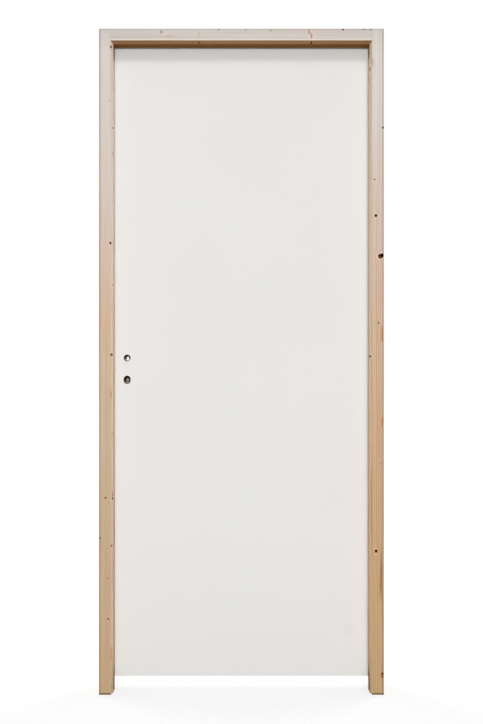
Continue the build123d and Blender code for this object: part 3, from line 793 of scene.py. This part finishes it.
LEVER = [  # outline in millimetres, round the middle of the stack
    (-12, -10), (-9, -13), (9, -13), (12, -10), (12, 10), (9, 13),
    (3, 13), (3, 10), (-2, 10), (-2, 13), (-9, 13), (-12, 10),
]
LEVER_LIFTS = (0.0, 0.6, -0.5, 0.4, -0.2)
STACK_X, STACK_Y, STACK_Z, LEVER_PITCH = -806.5, 20.0, 982.5, 2.2
LEVER_THICK = 0.0014
levers = bmesh.new()
for index, lift in enumerate(LEVER_LIFTS):
    near = STACK_Y + LEVER_PITCH * index
    outline = [(STACK_X + x, near, STACK_Z + lift + z) for x, z in LEVER]
    face = levers.faces.new([levers.verts.new([mm / 1000 for mm in point]) for point in outline])
    grown = bmesh.ops.extrude_face_region(levers, geom=[face])["geom"]
    far_side = [v for v in grown if isinstance(v, bmesh.types.BMVert)]
    bmesh.ops.translate(levers, verts=far_side, vec=(0, LEVER_THICK, 0))
bmesh.ops.recalc_face_normals(levers, faces=levers.faces)
new_piece("levers", levers, sintered, "leaf")
print(len(LEVER_LIFTS), "levers stand behind the keyway")


# %% Countersunk screws
RIM_RADIUS, NECK_RADIUS, NECK_DEPTH = 0.0040, 0.0023, 0.0017
ARM, HALF_SLOT, SLOT_DEPTH, SLOT_TAPER = 0.0024, 0.00055, 0.0011, 0.7


def cross_screw(shape, centre, outward, turn):
    """Adds one countersunk head whose face lies at centre and looks outward."""
    cross = [(ARM, -HALF_SLOT), (ARM, HALF_SLOT), (HALF_SLOT, HALF_SLOT)]
    cross += [(HALF_SLOT, ARM), (-HALF_SLOT, ARM), (-HALF_SLOT, HALF_SLOT)]
    cross += [(-x, -y) for x, y in cross]
    around = [math.radians(15 * step) for step in range(24)]
    stand = Vector(outward).to_track_quat("Z", "Y").to_matrix().to_4x4() @ Matrix.Rotation(turn, 4, "Z")
    stand = Matrix.Translation(centre) @ stand

    def loop(points, depth):
        return [shape.verts.new(stand @ Vector((x, y, -depth))) for x, y in points]

    def circle(radius):
        return [(radius * math.cos(a), radius * math.sin(a)) for a in around]

    def joined(ring):
        return [shape.edges.new((a, b)) for a, b in zip(ring, ring[1:] + ring[:1])]

    def walls(first, second):
        for i in range(len(first)):
            j = (i + 1) % len(first)
            shape.faces.new((first[i], first[j], second[j], second[i]))

    rim = loop(circle(RIM_RADIUS), 0)
    slot_top = loop(cross, 0)
    bmesh.ops.triangle_fill(shape, use_beauty=True, edges=joined(rim) + joined(slot_top))
    neck = loop(circle(NECK_RADIUS), NECK_DEPTH)
    walls(rim, neck)
    shape.faces.new(neck)
    slot_floor = loop([(SLOT_TAPER * x, SLOT_TAPER * y) for x, y in cross], SLOT_DEPTH)
    walls(slot_top, slot_floor)
    shape.faces.new(slot_floor)


print("screw heads of", 2 * RIM_RADIUS, "across")

# %% Screws in hinges, forend and strike
SUNK = 0.0001
FIRST_TURN, NEXT_TURN = 0.5, 1.9


def screws(name, body, places, outward):
    """One piece with all screws of a plate at places in millimetres, each turned a little differently."""
    shape = bmesh.new()
    for index, place_mm in enumerate(places):
        centre = [mm / 1000 - SUNK * way for mm, way in zip(place_mm, outward)]
        cross_screw(shape, centre, outward, FIRST_TURN + NEXT_TURN * index)
    bmesh.ops.recalc_face_normals(shape, faces=shape.faces)
    new_piece(name, shape, zinc, body)


LEFT, RIGHT = (-1, 0, 0), (1, 0, 0)
FLANGE_SPOTS = [(27.5, -41), (36.5, -13.67), (27.5, 13.67), (36.5, 41)]  # depth, and height from the middle
FRAME_FLANGE, LEAF_FLANGE, FOREND, STRIKE = -24.5, -31, -861, -867.5  # where the plates' faces lie
PLATE_MIDDLE = 25
FOREND_HEIGHTS, STRIKE_HEIGHTS = (916, 1119), (962, 1104)
for place_name, middle in HINGE_MIDDLES.items():
    on_frame = [(FRAME_FLANGE, depth, middle + up) for depth, up in FLANGE_SPOTS]
    on_leaf = [(LEAF_FLANGE, depth, middle + up) for depth, up in FLANGE_SPOTS]
    screws(f"frame_screws_{place_name}", "frame", on_frame, LEFT)
    screws(f"leaf_screws_{place_name}", "leaf", on_leaf, RIGHT)
screws("forend_screws", "leaf", [(FOREND, PLATE_MIDDLE, height) for height in FOREND_HEIGHTS], LEFT)
screws("strike_screws", "frame", [(STRIKE, PLATE_MIDDLE, height) for height in STRIKE_HEIGHTS], RIGHT)
print("screws in", 2 * len(HINGE_MIDDLES) + 2, "plates")

# %% [markdown]
# ## Intumescent strips
#
# Strips in the rebate swell in a fire and close the gap round the leaf. They are brown plastic sleeves with
# fine ribs from extrusion, so the finish runs its lines along the strip.


# %% Strips in the rebate
SLEEVE_DARK, SLEEVE_LIGHT, DUST = paint(92, 62, 42), paint(112, 78, 54), paint(150, 128, 106)


def strip_sleeve():
    """Brown extruded plastic with fine lengthwise lines."""
    material, tree, shader, place = finish("strip_sleeve")
    lines = noise(tree, vectors(tree, "MULTIPLY", place["Object"], (40, 1800, 4)), 1, 2)
    dust = noise(tree, place["Object"], 45, 4)
    colour = blend(tree, ease(tree, lines, 0.3, 0.7), SLEEVE_DARK, SLEEVE_LIGHT)
    colour = blend(tree, ease(tree, dust, 0.5, 0.8, 0, 0.4), colour, DUST)
    wire(tree, shader.inputs["Base Color"], colour)
    shader.inputs["Roughness"].default_value = 0.5
    bump(tree, shader, lines, 0.0002)
    return material


sleeve = strip_sleeve()
for name in ("lock_side_seal", "hinge_side_seal", "head_seal"):
    dress(name, sleeve)
print("strips dressed")
